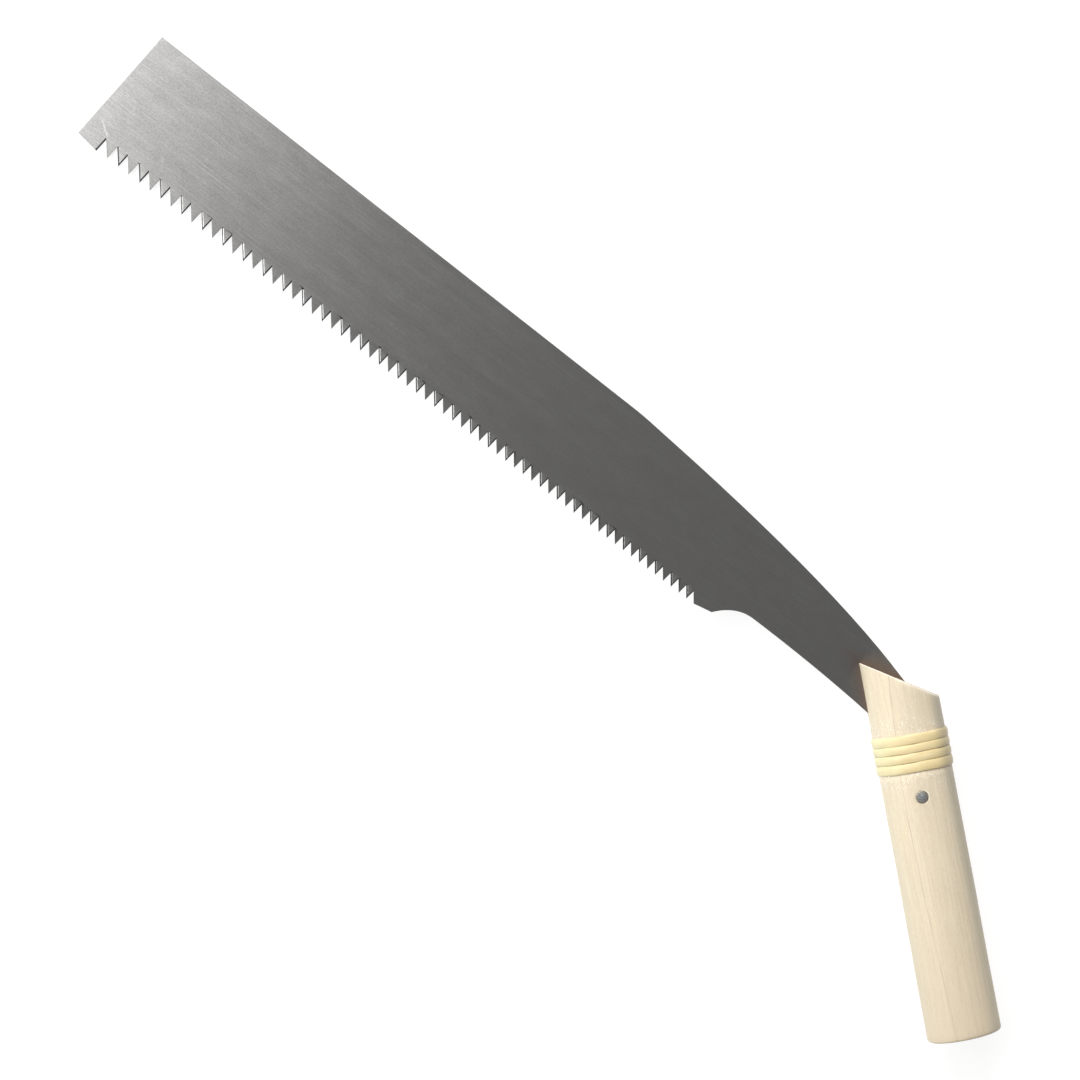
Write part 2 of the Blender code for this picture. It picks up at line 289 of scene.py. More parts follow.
def wood_radius(angle, height):
    """Radius of the stick: a taper, hand-shaved, so a little uneven."""
    around = Vector((math.cos(angle), math.sin(angle), 0)) * 1.1
    broad = noise.noise(around + Vector((0, 0, height / (45 * MM))))
    fine = noise.noise(around * 3.1 + Vector((7.0, 3.0, height / (16 * MM))))
    return BUTT_RADIUS - TAPER * height + UNEVENNESS * (broad + 0.45 * fine)


def cut_height(x):
    return CUT_MIDDLE - CUT_SLANT * x + CUT_CURL * max(0.0, x - CUT_CURL_FROM) ** 2


def make_stick_mesh():
    """One body: a whole lower part, and two half-round prongs above the end of the kerf.

    Every row has the same places: an arc at the front, one at the back and, in the prongs, a flat wall
    along the kerf. The prongs' rows tilt little by little, so that the last one lies in the slanted cut.
    """
    arc_steps = 60
    wall_steps = 22
    open_angle = math.asin((KERF_HALF + KERF_BREAK) / BUTT_RADIUS)
    arc_angles = [open_angle + (math.pi - 2 * open_angle) * step / arc_steps for step in range(arc_steps + 1)]
    bm = bmesh.new()

    def arc(side, height_at, inset=0.0):
        """Points of an arc from +X to -X: side is -1 for the front and 1 for the back."""
        points = []
        for angle in arc_angles:
            guess = BUTT_RADIUS * math.cos(angle)
            radius = wood_radius(side * angle, height_at(guess)) - inset
            x = radius * math.cos(angle)
            points.append((x, side * radius * math.sin(angle), height_at(x)))
        return points

    def wall(side, height_at, inset=0.0):
        """Points of a kerf wall from -X to +X."""
        half = math.sqrt((BUTT_RADIUS - inset) ** 2 - KERF_HALF ** 2) - KERF_BREAK
        points = []
        for step in range(wall_steps + 1):
            share = 2 * step / wall_steps - 1
            reach = half - (BUTT_RADIUS - wood_radius(math.acos(share), height_at(0)))
            x = reach * share
            points.append((x, side * (KERF_HALF + inset), height_at(x)))
        return points

    def whole_ring(height, inset=0.0):
        def sawn(x):
            return height + BUTT_TILT * x * max(0.0, 1 - height / BUTT_TILT_FADE)

        return add_row(bm, arc(1, sawn, inset) + arc(-1, sawn, inset)[::-1])

    rings = []
    rounding_steps = 5
    for step in range(rounding_steps + 1):
        turn = math.pi / 2 * step / rounding_steps
        rings.append(whole_ring(BUTT_ROUNDING * (1 - math.cos(turn)), BUTT_ROUNDING * (1 - math.sin(turn))))
    lower_steps = 30
    for step in range(1, lower_steps + 1):
        rings.append(whole_ring(BUTT_ROUNDING + (KERF_END - BUTT_ROUNDING) * step / lower_steps))
    bm.faces.new(rings[0])
    for low, high in zip(rings, rings[1:]):
        bridge(bm, low, high)
    arc_count = arc_steps + 1
    ends = {1: rings[-1][:arc_count], -1: rings[-1][arc_count:][::-1]}
    floor = {side: add_row(bm, wall(side, lambda x: KERF_END)) for side in (1, -1)}
    bm.faces.new(ends[1][-1:] + floor[1] + ends[1][:1] + ends[-1][:1] + floor[-1][::-1] + ends[-1][-1:])

    prong_steps = 30
    for side in (1, -1):
        row = ends[side] + floor[side]
        for step in range(1, prong_steps + 1):
            share = step / prong_steps

            def tilted(x, share=share):
                return KERF_END + (cut_height(x) - RIM_BREAK - KERF_END) * share

            following = add_row(bm, arc(side, tilted) + wall(side, tilted))
            bridge(bm, row, following)
            row = following
        for inset, below in ((0.35, 0.30), (1.0, 0.0)):
            def rim(x, below=below):
                return cut_height(x) - below * RIM_BREAK

            following = add_row(bm, arc(side, rim, inset * RIM_BREAK) + wall(side, rim, inset * RIM_BREAK))
            bridge(bm, row, following)
            row = following
        bm.faces.new(row)
    return bm


def turned(profile, sides, wobble=None):
    """Solid turned about Z from (radius, height) pairs that start and end on the axis."""
    bm = bmesh.new()
    rings = []
    for radius, height in profile:
        points = []
        for side in range(sides if radius else 1):
            angle = 2 * math.pi * side / sides
            point = Vector((radius * math.cos(angle), radius * math.sin(angle), height))
            points.append(wobble(point) if wobble else point)
        rings.append(add_row(bm, points))
    for low, high in zip(rings, rings[1:]):
        for side in range(sides):
            beside = (side + 1) % sides
            ring_corners = [low[side % len(low)], low[beside % len(low)]]
            ring_corners += [high[beside % len(high)], high[side % len(high)]]
            bm.faces.new(list(dict.fromkeys(ring_corners)))
    return bm


def across_stick():
    """Frame of the rivet: at its place on the axis, with Z to the front of the stick."""
    return Matrix.Translation(RIVET) @ Matrix.Rotation(math.radians(90), 4, "X")


def head_seat():
    """Distance from the axis of a rivet head's underside."""
    return BUTT_RADIUS - TAPER * RIVET.z - HEAD_THICKNESS


def cut_rivet_hole(bm):
    """The wood with the rivet's hole and the two seats of its heads."""
    hole = SHANK_RADIUS + SEAT_GAP
    seat = HEAD_RADIUS + SEAT_GAP
    floor = head_seat() - SEAT_GAP
    outside = BUTT_RADIUS + HEAD_THICKNESS
    profile = [(0, -outside), (seat, -outside), (seat, -floor), (hole, -floor)]
    profile += [(radius, -height) for radius, height in reversed(profile)]
    solids = []
    for name, shape in (("uncut_stick", bm), ("hole_cutter", turned(profile, 40))):
        bmesh.ops.recalc_face_normals(shape, faces=shape.faces)
        mesh = bpy.data.meshes.new(name)
        shape.to_mesh(mesh)
        shape.free()
        solids.append(bpy.data.objects.new(name, mesh))
        bpy.context.scene.collection.objects.link(solids[-1])
    stick, cutter = solids
    cutter.matrix_world = across_stick()
    boolean = stick.modifiers.new("rivet_hole", "BOOLEAN")
    boolean.operation = "DIFFERENCE"
    boolean.object = cutter
    bpy.context.view_layer.update()
    graph = bpy.context.evaluated_depsgraph_get()
    result = bmesh.new()
    result.from_mesh(stick.evaluated_get(graph).data)
    for solid in solids:
        bpy.data.objects.remove(solid)
    return result


def make_handle(finishes):
    bm = cut_rivet_hole(make_stick_mesh())
    piece = add_piece("stick_handle", bm, finishes, STICK, "handle")
    shade(piece, 32)
    return piece


def make_rivet(finishes):
    """A pin with both ends hammered over into low heads."""
    seat = head_seat()
    rim = seat + HEAD_THICKNESS - 0.12 * MM
    profile = []
    dome_steps = 9
    for step in range(dome_steps + 1):
        share = step / dome_steps
        profile.append((HEAD_RADIUS * share, -rim - HEAD_DOME * (1 - share ** 2.6)))
    profile += [(HEAD_RADIUS, -seat), (SHANK_RADIUS, -seat)]
    profile += [(radius, -height) for radius, height in reversed(profile)]

    def hammered(point):
        outer = max(0.0, abs(point.z) - rim) / HEAD_DOME
        blows = noise.noise(point / (0.9 * MM))
        blows += 0.4 * noise.noise(point / (0.35 * MM) + Vector((5, 2, 1)))
        flat = Vector((point.x, point.y, 0))
        edge = noise.noise(flat / (1.6 * MM)) if abs(point.z) > seat - 0.01 * MM else 0
        sideways = flat * 0.035 * edge
        return point + sideways + Vector((0, 0, math.copysign(0.10 * MM * outer * blows, point.z)))

    bm = turned(profile, 56, hammered)
    piece = add_piece("rivet_pin", bm, finishes, STICK @ across_stick(), "rivet")
    shade(piece, 40)
    return piece


def steps_over(turned_angle):
    """How many turns the cane has stepped over. It steps at the back of the stick and is level elsewhere."""
    nearest = round(turned_angle / (2 * math.pi))
    part = (turned_angle - nearest * 2 * math.pi + STEP_HALF) / (2 * STEP_HALF)
    part = min(max(part, 0.0), 1.0)
    return nearest - 1 + part * part * (3 - 2 * part)


def by_turn(values, place):
    """The value for this place along the strand, counted in turns, going over from turn to turn."""
    low = min(max(int(place), 0), TURNS - 1)
    high = min(low + 1, TURNS - 1)
    return values[low] + (values[high] - values[low]) * (place - low)


def make_binding(finishes):
    """One strand of half-round cane, a little uneven in width, thinned where its ends are tucked."""
    section_steps = 14
    rings_per_turn = 110
    first = STEP_HALF
    last = TURNS * 2 * math.pi - STEP_HALF
    count = round((last - first) / (2 * math.pi) * rings_per_turn)
    top = BINDING_MIDDLE + TURN_PITCH * (TURNS - 1) / 2
    inside = BUTT_RADIUS - TAPER * (BINDING_MIDDLE - TURN_PITCH * TURNS / 2) + BINDING_LIFT
    tuck = math.radians(16)
    bm = bmesh.new()
    uv = bm.loops.layers.uv.new("along_and_across")
    rings = []
    lengths = []
    for step in range(count + 1):
        angle = first + (last - first) * step / count
        turn_place = steps_over(angle)
        height = top - TURN_PITCH * turn_place - by_turn(TURN_DROPS, turn_place)
        along = angle * inside
        ease = min(1.0, (angle - first) / tuck, (last - angle) / tuck)
        ease = ease * (2 - ease)
        width = (TURN_PITCH - TURN_GAP) * (0.55 + 0.45 * ease) * by_turn(TURN_WIDTHS, turn_place)
        width *= 0.985 + 0.055 * noise.noise(Vector((along / (7 * MM), 2.0, 0.0)))
        height += 0.17 * MM * noise.noise(Vector((along / (7.5 * MM), 0.0, 5.0)))
        thickness = CANE_EDGE + (CANE_THICKNESS - CANE_EDGE) * (0.25 + 0.75 * ease)
        thickness *= 1 + 0.05 * noise.noise(Vector((along / (9 * MM), 9.0, 0.0)))
        points = [(0.0, -width / 2)]
        for part in range(section_steps + 1):
            turn = math.pi * part / section_steps
            lean = 0.06 * noise.noise(Vector((along / (20 * MM), part / 3, 3.0)))
            swell = (math.sin(turn) ** 1.2) * (1 + lean)
            points.append((CANE_EDGE + (thickness - CANE_EDGE) * swell, -width / 2 * math.cos(turn)))
        points.append((0.0, width / 2))
        ring = []
        for out, up in points:
            radius = inside + out
            ring.append(bm.verts.new((radius * math.sin(angle), radius * math.cos(angle), height + up)))
        rings.append(ring)
        lengths.append(along)
    places = len(rings[0])
    for step in range(count):
        for place in range(places):
            beside = (place + 1) % places
            face = bm.faces.new((rings[step][place], rings[step][beside],
                                 rings[step + 1][beside], rings[step + 1][place]))
            spots = ((step, place), (step, place + 1), (step + 1, place + 1), (step + 1, place))
            for loop, (row, column) in zip(face.loops, spots):
                loop[uv].uv = (lengths[row], column / places * TURN_PITCH)
    bm.faces.new(rings[0])
    bm.faces.new(rings[-1])
    piece = add_piece("cane_binding", bm, finishes, STICK, "rattan_wrap")
    shade(piece, 50)
    return piece


# ---------------------------------------------------------------- finishes


class Finish:
    """A material, with the few node recipes that the finishes share. Sizes of features are in metres."""

    def __init__(self, name, roughness, metallic=0.0, uv_map=None):
        self.material = bpy.data.materials.new(name)
        self.material.use_nodes = True
        self.tree = self.material.node_tree
        self.shader = self.tree.nodes["Principled BSDF"]
        self.shader.inputs["Metallic"].default_value = metallic
        self.shader.inputs["Roughness"].default_value = roughness
        if uv_map:
            self.coordinates = self.node("ShaderNodeUVMap", uv_map=uv_map).outputs["UV"]
        else:
            self.coordinates = self.node("ShaderNodeTexCoord").outputs["Object"]

    def node(self, kind, inputs=None, **settings):
        made = self.tree.nodes.new(kind)
        for name, value in settings.items():
            setattr(made, name, value)
        for name, value in (inputs or {}).items():
            self.feed(made.inputs[name], value)
        return made

    def feed(self, socket, value):
        if isinstance(value, bpy.types.NodeSocket):
            self.tree.links.new(value, socket)
        elif socket.type == "RGBA" and len(value) == 3:
            socket.default_value = (*value, 1.0)
        else:
            socket.default_value = value

    def set(self, name, value):
        self.feed(self.shader.inputs[name], value)

    def noise(self, size, detail=2.0, turn=(0, 0, 0), shift=(0, 0, 0), distortion=0.0):
        """Noise from 0 to 1 whose features have this size along each axis, after a turn."""
        turned_place = self.node("ShaderNodeMapping", {"Vector": self.coordinates, "Rotation": turn,
                                                       "Location": shift})
        scaled = self.node("ShaderNodeVectorMath", {0: turned_place.outputs[0], 1: [1 / s for s in size]},
                           operation="MULTIPLY")
        inputs = {"Vector": scaled.outputs[0], "Scale": 1.0, "Detail": detail, "Distortion": distortion}
        return self.node("ShaderNodeTexNoise", inputs).outputs[0]

    def spread(self, value, low, high, to_low=0.0, to_high=1.0, smooth=False):
        inputs = {"Value": value, "From Min": low, "From Max": high, "To Min": to_low, "To Max": to_high}
        kind = "SMOOTHSTEP" if smooth else "LINEAR"
        return self.node("ShaderNodeMapRange", inputs, interpolation_type=kind).outputs[0]

    def math(self, operation, first, second=0.0, third=0.0):
        return self.node("ShaderNodeMath", {0: first, 1: second, 2: third}, operation=operation).outputs[0]

    def mix(self, share, first, second, blend="MIX"):
        made = self.node("ShaderNodeMix", data_type="RGBA", blend_type=blend)
        self.feed(made.inputs[0], share)
        self.feed(made.inputs[6], first)
        self.feed(made.inputs[7], second)
        return made.outputs[2]

    def times(self, *values):
        """The product of all these."""
        product = values[0]
        for value in values[1:]:
            product = self.math("MULTIPLY", product, value)
        return product

    def reach(self, first, second, centre=(0.0, 0.0)):
        """Distance from a centre, from two coordinates."""
        squares = (self.math("POWER", self.math("SUBTRACT", value, middle), 2.0)
                   for value, middle in zip((first, second), centre))
        return self.math("SQRT", self.math("ADD", *squares))

    def dim(self, colour, red, green=None, blue=None):
        """The colour times these three, or times the first of them alone."""
        green = red if green is None else green
        blue = red if blue is None else blue
        shares = self.node("ShaderNodeCombineColor", {"Red": red, "Green": green, "Blue": blue})
        return self.mix(1.0, colour, shares.outputs[0], blend="MULTIPLY")

    def separate(self, vector):
        return self.node("ShaderNodeSeparateXYZ", {"Vector": vector}).outputs

    def bump(self, height, distance, below=None):
        inputs = {"Height": height, "Distance": distance, "Strength": 1.0}
        if below:
            inputs["Normal"] = below
        return self.node("ShaderNodeBump", inputs).outputs[0]


def line_mark(finish, start, end, width, rough=0.0):
    """1 on a mark in the plate's drawing from start to end, fading to 0 at its width, ragged by rough."""
    along = (end - start).normalized()
    x, y, _ = finish.separate(finish.coordinates)
    from_x = finish.math("SUBTRACT", x, start.x)
    from_y = finish.math("SUBTRACT", y, start.y)
    forward = finish.math("ADD", finish.times(from_x, along.x), finish.times(from_y, along.y))
    off = finish.math("SUBTRACT", finish.times(from_x, along.y), finish.times(from_y, along.x))
    jitter = finish.noise((1.1 * MM, 1.1 * MM, 1.0), detail=3)
    off = finish.math("ADD", off, finish.spread(jitter, 0.3, 0.7, -rough, rough))
    near = finish.spread(finish.math("ABSOLUTE", off), 0.0, width, 1.0, 0.0)
    length = (end - start).length
    started = finish.spread(forward, 0.0, 0.2 * length)
    ended = finish.spread(forward, 0.8 * length, length, 1.0, 0.0)
    return finish.times(near, started, ended)


def smudge(finish, centre, size):
    """1 in the middle of a ragged spot on the plate, fading to 0 at its size."""
    x, y, _ = finish.separate(finish.coordinates)
    off_x = finish.math("DIVIDE", finish.math("SUBTRACT", x, centre.x), size.x)
    off_y = finish.math("DIVIDE", finish.math("SUBTRACT", y, centre.y), size.y)
    off = finish.math("ADD", finish.math("POWER", off_x, 2.0), finish.math("POWER", off_y, 2.0))
    ragged = finish.noise((0.7 * MM, 0.5 * MM, 1.0), detail=3, shift=(0.3, 0.2, 0))
    off = finish.math("ADD", off, finish.spread(ragged, 0.3, 0.7, -0.6, 0.9))
    return finish.spread(off, 0.0, 1.0, 1.0, 0.0)


def beside_stick(finish, width):
    """1 on the plate where it meets the wood, fading to 0 at this distance from the stick's outline."""
    to_stick = STICK.inverted() @ DRAWING
    x, y, _ = finish.separate(finish.coordinates)
    across, height = (
        finish.math("ADD", finish.times(x, row[0]), finish.math("MULTIPLY_ADD", y, row[1], row[3]))
        for row in (to_stick[0], to_stick[2])
    )
    left = finish.math("SUBTRACT", -BUTT_RADIUS, across)
    above = finish.math("SUBTRACT", height, finish.math("MULTIPLY_ADD", across, -CUT_SLANT, CUT_MIDDLE))
    above = finish.times(above, math.cos(math.atan(CUT_SLANT)))
    distance = finish.math("MAXIMUM", finish.math("MAXIMUM", left, above), 0.0)
    return finish.math("POWER", finish.spread(distance, 0.0, width, 1.0, 0.0), 2.0)


def ground_steel(name, filed_bright=0.0):
    """Steel ground lengthwise: fine broken streaks along X, faint scuffs, grit, and a mottled sheen.

    filed_bright is how much lighter a tooth is at its tip, where the file has been over it.
    """
    finish = Finish(name, 0.36, metallic=1.0)
    fine = finish.noise((8 * MM, 0.34 * MM, 5 * MM), detail=4)
    long_streaks = finish.noise((34 * MM, 0.42 * MM, 5 * MM), detail=3, shift=(0.0, 0.2, 0))
    broad = finish.noise((80 * MM, 4.0 * MM, 5 * MM), detail=2, shift=(0.3, 0.1, 0))
    grit = finish.noise((0.62 * MM, 0.46 * MM, 2 * MM), detail=3, shift=(0.1, 0.2, 0))
    mottle = finish.noise((10 * MM, 6 * MM, 9 * MM), detail=4, shift=(0.5, 0.4, 0))
    light = finish.math("ADD", finish.spread(fine, 0.3, 0.7, 0.955, 1.045),
                        finish.spread(long_streaks, 0.3, 0.7, -0.045, 0.045))
    light = finish.math("ADD", light, finish.spread(broad, 0.3, 0.7, -0.025, 0.025))
    light = finish.math("ADD", light, finish.spread(grit, 0.25, 0.75, -0.13, 0.13))
    light = finish.math("ADD", light, finish.spread(mottle, 0.3, 0.7, -0.035, 0.035))
    bright = finish.times(finish.spread(fine, 0.60, 0.70, 0.0, 0.7), finish.spread(mottle, 0.42, 0.60))
    bright_long = finish.times(finish.spread(long_streaks, 0.60, 0.70), finish.spread(grit, 0.32, 0.52))
    speck = finish.noise((0.50 * MM, 0.42 * MM, 1.0), detail=1, shift=(0.6, 0.7, 0))
    marks = finish.math("MAXIMUM", bright, bright_long)
    marks = finish.math("MAXIMUM", marks, finish.spread(speck, 0.72, 0.79))
    for turn, long, wide in ((12, 7 * MM, 0.24 * MM), (-38, 5 * MM, 0.20 * MM), (71, 6 * MM, 0.24 * MM)):
        turned_by = (0, 0, math.radians(turn))
        scuff = finish.noise((long, wide, 1), detail=1, turn=turned_by, shift=(0.01 * turn, 0, 0))
        marks = finish.math("MAXIMUM", marks, finish.spread(scuff, 0.75, 0.85, 0.0, 0.7))
    for start, end, width in TOE_SCRATCHES:
        scratch = line_mark(finish, start, end, width, rough=0.22 * MM)
        marks = finish.math("MAXIMUM", marks, finish.times(scratch, 2.2))
    for centre, size in SMUDGES:
        marks = finish.math("MAXIMUM", marks, smudge(finish, centre, size))
    light = finish.math("ADD", light, finish.times(marks, 0.17))
    # Painted light: the streaks stand out more towards the toe, where the highlight lies, and less towards
    # the heel
    highlight_contrast = finish.spread(finish.separate(finish.coordinates)[0], 0.0, 230 * MM, 1.60, 0.58)
    light = finish.math("MULTIPLY_ADD", finish.math("SUBTRACT", light, 1.0), highlight_contrast, 1.0)
    if filed_bright:
        rub = finish.noise((0.8 * MM, 0.5 * MM, 1.0), detail=3, shift=(0.2, 0.9, 0))
        ragged = finish.spread(rub, 0.3, 0.7, -1.6 * MM, 1.6 * MM)
        height = finish.math("ADD", finish.separate(finish.coordinates)[1], ragged)
        tip = finish.spread(height, 1.5 * MM, NOTCH_TOP, filed_bright, 0.0, smooth=True)
        light = finish.math("ADD", light, tip)
    tint = finish.mix(finish.spread(mottle, 0.3, 0.7), (0.410, 0.403, 0.394), (0.410, 0.407, 0.399))
    # Painted shade and a painted brown reflection of the wood, strongest where the plate meets the stick
    shade_by_wood = finish.times(beside_stick(finish, WOOD_SHADE_REACH), 0.60)
    finish.set("Base Color", finish.mix(shade_by_wood, finish.dim(tint, light), (0.400, 0.265, 0.210)))
    rough = finish.math("ADD", finish.spread(broad, 0.3, 0.7, ROUGH_LOW, ROUGH_HIGH),
                        finish.spread(grit, 0.3, 0.7, -0.015, 0.015))
    finish.set("Roughness", rough)
    finish.set("Anisotropic", 0.9)
    finish.set("Tangent", finish.node("ShaderNodeTangent", direction_type="UV_MAP",
                                      uv_map="across_and_along").outputs[0])
    finish.set("Normal", finish.bump(fine, 0.0014 * MM, finish.bump(mottle, 0.004 * MM)))
    return finish.material


def filed_steel(name, colour, roughness, edge_tint=1.0, burnished=0.0, at_toe=1.0, at_heel=1.0):
    """Steel left by the file inside a notch: short file lines straight through the plate.

    edge_tint is how bright it is when seen at a glance along it, and burnished how bright along the back of
    the plate, where the file came out. at_toe and at_heel are what is left there of its brightness between:
    painted light and shade along the blade.
    """
    finish = Finish(name, roughness, metallic=1.0)
    lines = finish.noise((0.09 * MM, 0.12 * MM, 1.5 * MM), detail=2)
    stain = finish.noise((1.4 * MM, 1.4 * MM, 1.4 * MM), detail=3)
    along, _, level = finish.separate(finish.coordinates)
    # Painted light and shade along the blade: brightness scaled down at the toe and at the heel
    colour = finish.dim(colour, finish.times(
        finish.spread(lines, 0.3, 0.7, 0.7, 1.2),
        finish.spread(stain, 0.3, 0.7, 0.75, 1.2),
        finish.spread(along, 25 * MM, 75 * MM, at_toe, 1.0),
        finish.spread(along, 20 * MM, 300 * MM, 1.0, at_heel)))
    if burnished:
        share = finish.spread(level, -PLATE / 2, -PLATE / 8, burnished, 0.0)
        colour = finish.mix(share, colour, (0.900, 0.900, 0.890))
    finish.set("Base Color", colour)
    finish.set("Roughness", finish.spread(stain, 0.3, 0.7, roughness - 0.06, roughness + 0.08))
    finish.set("Specular Tint", (edge_tint, edge_tint, edge_tint))
    finish.set("Normal", finish.bump(lines, 0.01 * MM))
    return finish.material


def ring_line(finish, x, z, width):
    """1 on the one dark growth ring that shows along the stick, fading to 0 at its width."""
    up = finish.math("SUBTRACT", z, LINE_TURN)
    bow = finish.times(finish.math("POWER", finish.math("ABSOLUTE", up), 1.5),
                       finish.spread(up, -0.1 * MM, 0.1 * MM, LINE_BOW_BELOW, LINE_BOW_ABOVE))
    wander = finish.noise((50 * MM, 50 * MM, 11 * MM), detail=3, shift=(0.2, 0, 0.05))
    place = finish.math("ADD", bow, LINE_PLACE)
    place = finish.math("ADD", place, finish.spread(wander, 0.3, 0.7, -0.13 * MM, 0.13 * MM))
    off = finish.math("ABSOLUTE", finish.math("SUBTRACT", x, place))
    return finish.spread(off, 0.02 * MM, width, 1.0, 0.0)


def pale_wood():
    """Bare sanded wood: faint growth rings, fibres along the axis, pores and flecks, one dark ring line, and
    painted light and shade across and along the stick.
    """
    finish = Finish("pale_wood", 0.55)
    x, y, z = finish.separate(finish.coordinates)
    wander = finish.noise((30 * MM, 30 * MM, 60 * MM), detail=2, shift=(0.2, 0, 0))
    ripple = finish.noise((6 * MM, 6 * MM, 9 * MM), detail=2, shift=(0, 0.4, 0))
    ring = finish.reach(x, y, PITH)
    ring = finish.math("ADD", ring, finish.spread(wander, 0.0, 1.0, -1.2 * MM, 1.2 * MM))
    season = finish.math("FRACT", finish.math("DIVIDE", ring, 2.6 * MM))
    late = finish.times(finish.spread(season, 0.25, 0.90), finish.spread(season, 0.90, 1.0, 1.0, 0.0))
    fibre = finish.noise((0.34 * MM, 0.34 * MM, 14 * MM), detail=4)
    strand = finish.noise((1.1 * MM, 1.1 * MM, 26 * MM), detail=3, shift=(0.1, 0.3, 0.2))
    nap = finish.noise((0.55 * MM, 0.55 * MM, 1.5 * MM), detail=3, shift=(0.6, 0.5, 0.2))
    cloud = finish.noise((9 * MM, 9 * MM, 24 * MM), detail=3, shift=(0.6, 0.1, 0.3))
    pores = finish.noise((0.32 * MM, 0.32 * MM, 1.7 * MM), detail=2, shift=(0.3, 0.8, 0))
    pores = finish.spread(pores, 0.68, 0.76)
    by_binding = finish.math("ABSOLUTE", finish.math("SUBTRACT", z, FLECKS_MIDDLE))
    by_binding = finish.spread(by_binding, 8 * MM, 19 * MM, 1.0, 0.0, smooth=True)
    turned_by = (0, math.radians(28), 0)
    glint = finish.noise((0.50 * MM, 0.50 * MM, 1.1 * MM), detail=2, turn=turned_by, shift=(0.4, 0, 0))
    gathered = finish.noise((5 * MM, 5 * MM, 4 * MM), detail=1, shift=(0.1, 0.7, 0.6))
    flecks = finish.times(finish.spread(glint, 0.59, 0.67), finish.math("ADD", by_binding, 0.10),
                          finish.spread(gathered, 0.38, 0.62, 0.25, 1.0))
    patchy = finish.noise((9 * MM, 9 * MM, 13 * MM), detail=2, shift=(0.9, 0, 0))
    patchy = finish.spread(patchy, 0.32, 0.62, 0.35, 0.85)
    line = finish.times(ring_line(finish, x, z, 0.26 * MM), patchy)
    handled = finish.spread(z, 0.0, 70 * MM, 0.30, 0.0, smooth=True)

    colour = finish.mix(finish.spread(cloud, 0.3, 0.7), (0.728, 0.636, 0.477), (0.753, 0.647, 0.468))
    colour = finish.mix(finish.times(late, 0.16), colour, (0.561, 0.449, 0.309))
    colour = finish.mix(finish.spread(strand, 0.38, 0.70, 0.0, 0.32), colour, (0.600, 0.491, 0.340))
    colour = finish.mix(finish.spread(fibre, 0.42, 0.70, 0.0, 0.34), colour, (0.552, 0.439, 0.300))
    colour = finish.mix(finish.spread(nap, 0.42, 0.70, 0.0, 0.24), colour, (0.850, 0.765, 0.625))
    colour = finish.mix(finish.times(flecks, 0.95), colour, (0.965, 0.925, 0.830))
    colour = finish.mix(finish.times(pores, 0.55), colour, (0.400, 0.315, 0.220))
    colour = finish.mix(finish.times(line, 0.50), colour, (0.300, 0.240, 0.180))
    colour = finish.mix(handled, colour, (0.640, 0.520, 0.370))

    from_rivet = finish.reach(x, z, (RIVET.x, RIVET.z))
    # The wood is darker in a ring just round the rivet's head, fading outwards
    ragged_from_rivet = finish.math("ADD", from_rivet, finish.spread(nap, 0.3, 0.7, -0.5 * MM, 0.5 * MM))
    colour = finish.mix(finish.spread(ragged_from_rivet, 2.4 * MM, 4.0 * MM, 0.30, 0.0), colour, (0.470, 0.400, 0.270))
    # Painted highlight: a pale ring round the head, on its +X side only
    ring_highlight = finish.math("ABSOLUTE", finish.math("SUBTRACT", from_rivet, HEAD_RING_HIGHLIGHT_RADIUS))
    ring_highlight = finish.times(finish.spread(ring_highlight, 0.0, 0.45 * MM, 1.0, 0.0),
                       finish.spread(x, RIVET.x, RIVET.x + 1.6 * MM, 0.0, 0.75))
    colour = finish.mix(ring_highlight, colour, (0.930, 0.860, 0.700))

    # Painted light and shade: lighter towards +X and towards the top, darker again at the +X edge, lighter
    # along the binding's lower edge and on the butt's rounded rim, where shade falls
    deepest_painted_shade = finish.spread(z, 0.0, 120 * MM, 0.84, 0.67)
    from_binding_shadow = finish.math("ABSOLUTE", finish.math("SUBTRACT", z, BINDING_SHADOW_AT))
    painted_light_and_shade = finish.times(finish.spread(x, -1 * MM, 8 * MM, 1.0, 1.12),
                        finish.spread(z, 0.0, 130 * MM, 0.96, 1.03),
                        finish.spread(x, 8.5 * MM, 13.5 * MM, 1.0, deepest_painted_shade, smooth=True),
                        finish.spread(from_binding_shadow, 0.2 * MM, 2.2 * MM, 1.14, 1.0),
                        finish.spread(z, 0.1 * MM, BUTT_ROUNDING, 1.32, 1.0))
    # Painted cool light: both edges of the stick greener and bluer
    side = finish.spread(finish.math("ABSOLUTE", x), 9 * MM, 14 * MM)
    greener = finish.math("MULTIPLY_ADD", side, 0.03, 1.0)
    bluer = finish.math("MULTIPLY_ADD", side, 0.05, 1.0)
    colour = finish.dim(colour, painted_light_and_shade, finish.times(painted_light_and_shade, greener), finish.times(painted_light_and_shade, bluer))

    facing = finish.separate(finish.node("ShaderNodeTexCoord").outputs["Normal"])[2]
    end_grain = finish.spread(finish.math("ABSOLUTE", facing), 0.6, 0.8)
    on_butt_rim = finish.times(finish.spread(z, 0.2 * MM, 0.5 * MM),
                               finish.spread(z, 2 * MM, 9 * MM, 0.85, 0.0))
    end_grain = finish.times(end_grain, finish.math("SUBTRACT", 1.0, on_butt_rim))
